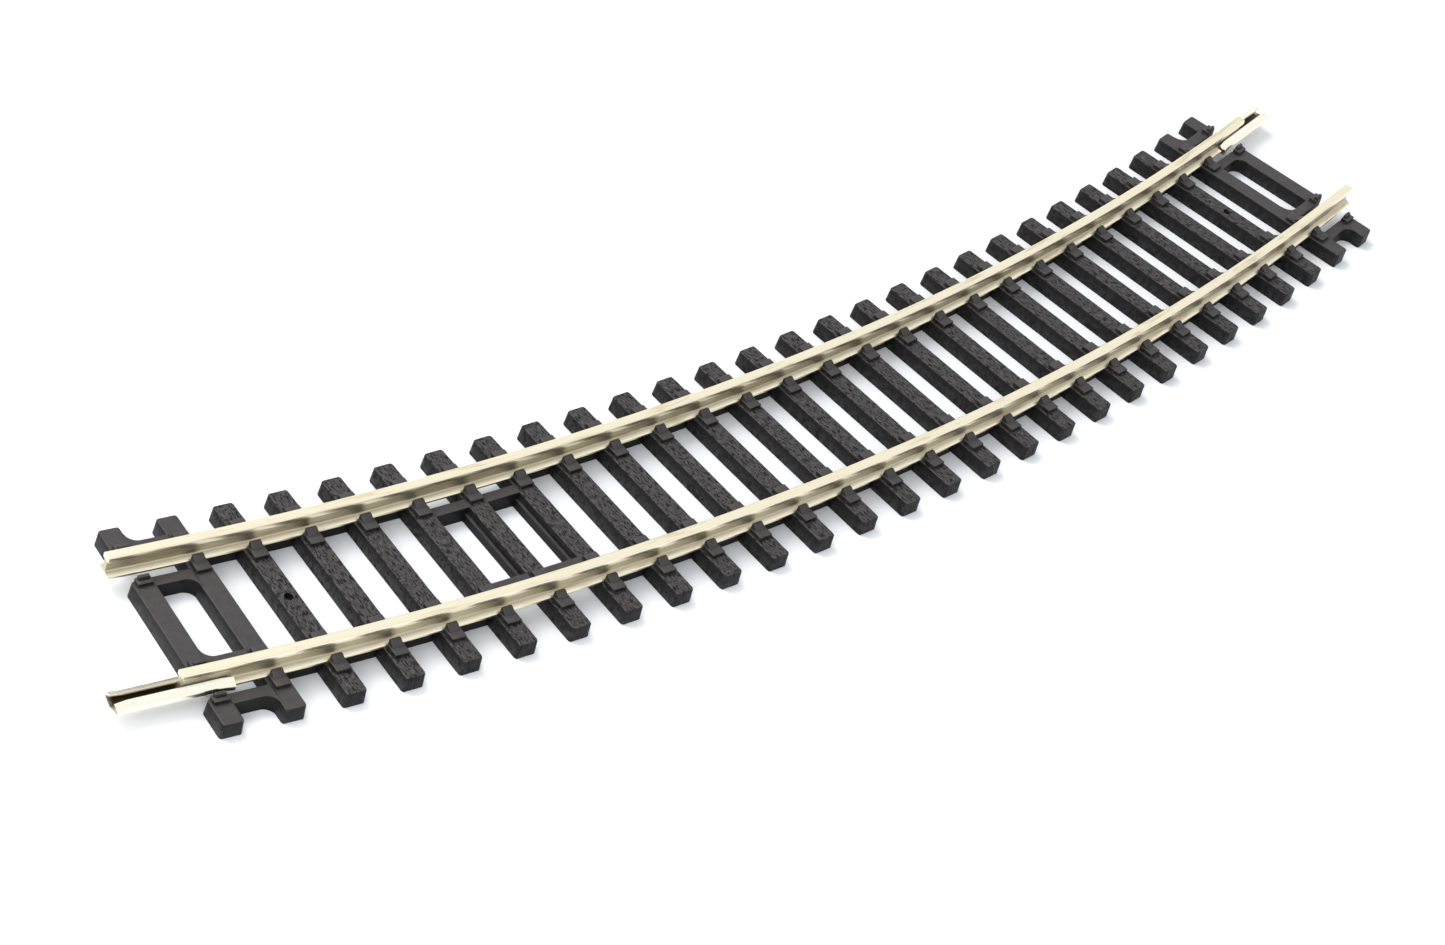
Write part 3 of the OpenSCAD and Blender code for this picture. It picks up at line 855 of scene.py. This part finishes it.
def build_joiner(side):
    """One joiner: sheet folded round the rail's foot, with both tips spread."""
    j, r = sizes("track_joiner"), sizes("track_rail")
    curve = sizes("track_curve")
    bm = bmesh.new()
    fold_line(bm, j, r)
    line = list(bm.edges)
    for _ in range(JOINER_STEPS):
        made = bmesh.ops.extrude_edge_only(bm, edges=line)["geom"]
        moved = [g for g in made if isinstance(g, bmesh.types.BMVert)]
        bmesh.ops.translate(bm, vec=(j.span / JOINER_STEPS, 0, 0), verts=moved)
        line = [g for g in made if isinstance(g, bmesh.types.BMEdge) and all(v in moved for v in g.verts)]
    flare_tips(bm, j)
    bmesh.ops.recalc_face_normals(bm, faces=bm.faces)
    bmesh.ops.solidify(bm, geom=list(bm.faces), thickness=j.sheet)
    mask_painted_shade(bm, joiner_section(j, r, j.sheet / 2))
    own_place(bm, Vector((0, OUTWARD[side] * JOINER_PATTERN_STEP, 0)))
    end = JOINER_END[side]
    angle = end * (curve.turn / 2 - j.grip / rail_radius(side) / 2)
    along, across = end * (j.span / 2 - j.grip / 2), -OUTWARD[side] * curve.rail_offset
    spot = Matrix.Translation((along, across, sizes("track_sleeper").thickness))
    bmesh.ops.transform(bm, matrix=at_angle(angle) @ spot, verts=bm.verts)
    body = f"{side}_joiner"
    return finish_piece(f"{side}_rail_joiner", bm, joiner_material(), body, [body])


class BuildJoiners(bpy.types.Operator):
    """Build the two folded rail joiners"""
    bl_idname = "track.build_joiners"
    bl_label = "Build Joiners"

    def execute(self, context):
        for side in OUTWARD:
            build_joiner(side)
        return {"FINISHED"}


# ---- Studio ------------------------------------------------------------------------------------

# The camera's place from the curve's centre, its angles, and its lens and sensor in millimetres.
CAMERA_FROM_CENTRE = Vector((-309.907, -693.650, 275.457)) * MM
CAMERA_TURN = [math.radians(angle) for angle in (49.6377, -16.0298, -43.6128)]
CAMERA_LENS, CAMERA_SENSOR, CAMERA_NEAR = 95.45, 36, 5 * MM
SKY_COLOUR, SKY_STRENGTH = (0.95, 0.97, 1, 1), 1.05
# From the middle of the floor to its sides, in metres.
FLOOR_REACH = 3.0


def add_camera():
    """The camera at the section's left end, above its outer side."""
    data = bpy.data.cameras.new("camera")
    data.lens, data.sensor_width, data.clip_start = CAMERA_LENS, CAMERA_SENSOR, CAMERA_NEAR
    camera = bpy.data.objects.new("camera", data)
    camera.matrix_world = Matrix.LocRotScale(curve_centre() + CAMERA_FROM_CENTRE, Euler(CAMERA_TURN), None)
    bpy.context.scene.collection.objects.link(camera)
    bpy.context.scene.camera = camera


def add_light(name, place, size, power, target=(0, 0, 0)):
    """A square soft box that faces its target."""
    data = bpy.data.lights.new(name, "AREA")
    data.shape, data.size, data.energy = "SQUARE", size, power
    light = bpy.data.objects.new(name, data)
    light.location = place
    light.rotation_euler = (Vector(target) - Vector(place)).to_track_quat("-Z", "Y").to_euler()
    bpy.context.scene.collection.objects.link(light)


def floor_material():
    """Plain pale paper."""
    material, tree, shader = new_material("pale paper")
    if tree is None:
        return material
    place = node(tree, "ShaderNodeTexCoord").outputs["Object"]
    paper = stretched_noise(tree, place, stretch=(1, 1, 1), scale=40, detail=3)
    tone = sizes("track_finish").floor
    tint = blend_colour(tree, ramp(tree, paper, low=0.3, high=0.7), rgba(tone, 0.99), rgba(tone))
    tree.links.new(tint, shader.inputs["Base Color"])
    shader.inputs["Roughness"].default_value = 0.9
    return material


def add_sky():
    """Even pale light from all sides."""
    world = bpy.data.worlds.new("studio")
    world.use_nodes = True
    background = world.node_tree.nodes["Background"]
    background.inputs["Color"].default_value = SKY_COLOUR
    background.inputs["Strength"].default_value = SKY_STRENGTH
    bpy.context.scene.world = world


class BuildStage(bpy.types.Operator):
    """Build the floor, the soft boxes and the camera"""
    bl_idname = "track.build_stage"
    bl_label = "Build Stage"

    def execute(self, context):
        bm = bmesh.new()
        bmesh.ops.create_grid(bm, x_segments=2, y_segments=2, size=FLOOR_REACH)
        mesh = bpy.data.meshes.new("floor")
        bm.to_mesh(mesh)
        bm.free()
        floor = bpy.data.objects.new("floor", mesh)
        mesh.materials.append(floor_material())
        context.scene.collection.objects.link(floor)
        add_light("key", place=(-0.25, 0.55, 0.75), size=0.5, power=9)
        add_light("fill", place=(-0.7, -0.5, 0.6), size=0.8, power=5)
        add_light("left fill", place=(-0.42, 0.04, 0.2), size=0.2, power=0.9, target=(-0.1, 0, 0))
        add_sky()
        context.scene.view_settings.view_transform = "Standard"
        add_camera()
        return {"FINISHED"}


# ---- Panel and running -------------------------------------------------------------------------

BUILDERS = (BuildSleepers, FinishTies, BuildRails, BuildJoiners, BuildStage)


class TrackPanel(bpy.types.Panel):
    """The builders, in the 3D view's sidebar"""
    bl_idname = "VIEW3D_PT_curved_track"
    bl_label = "Curved Model Track"
    bl_space_type = "VIEW_3D"
    bl_region_type = "UI"
    bl_category = "Track"

    def draw(self, context):
        for builder in BUILDERS:
            self.layout.operator(builder.bl_idname)


PROPERTIES = {
    "track_curve": TrackCurve,
    "track_sleeper": SleeperSizes,
    "track_rail": RailSizes,
    "track_joiner": JoinerSizes,
    "track_finish": Finish,
}


def register():
    """Registers the classes and puts the property groups on the scene."""
    for kind in (*GROUPS, *BUILDERS, TrackPanel):
        bpy.utils.register_class(kind)
    for name, kind in PROPERTIES.items():
        setattr(bpy.types.Scene, name, bpy.props.PointerProperty(type=kind))


def unregister():
    """Undoes register()."""
    for name in PROPERTIES:
        delattr(bpy.types.Scene, name)
    for kind in reversed((*GROUPS, *BUILDERS, TrackPanel)):
        bpy.utils.unregister_class(kind)


def main():
    """Builds everything."""
    register()
    bpy.ops.track.build_sleepers()
    bpy.ops.track.finish_ties()
    bpy.ops.track.build_rails()
    bpy.ops.track.build_joiners()
    bpy.ops.track.build_stage()


if __name__ == "__main__":
    main()
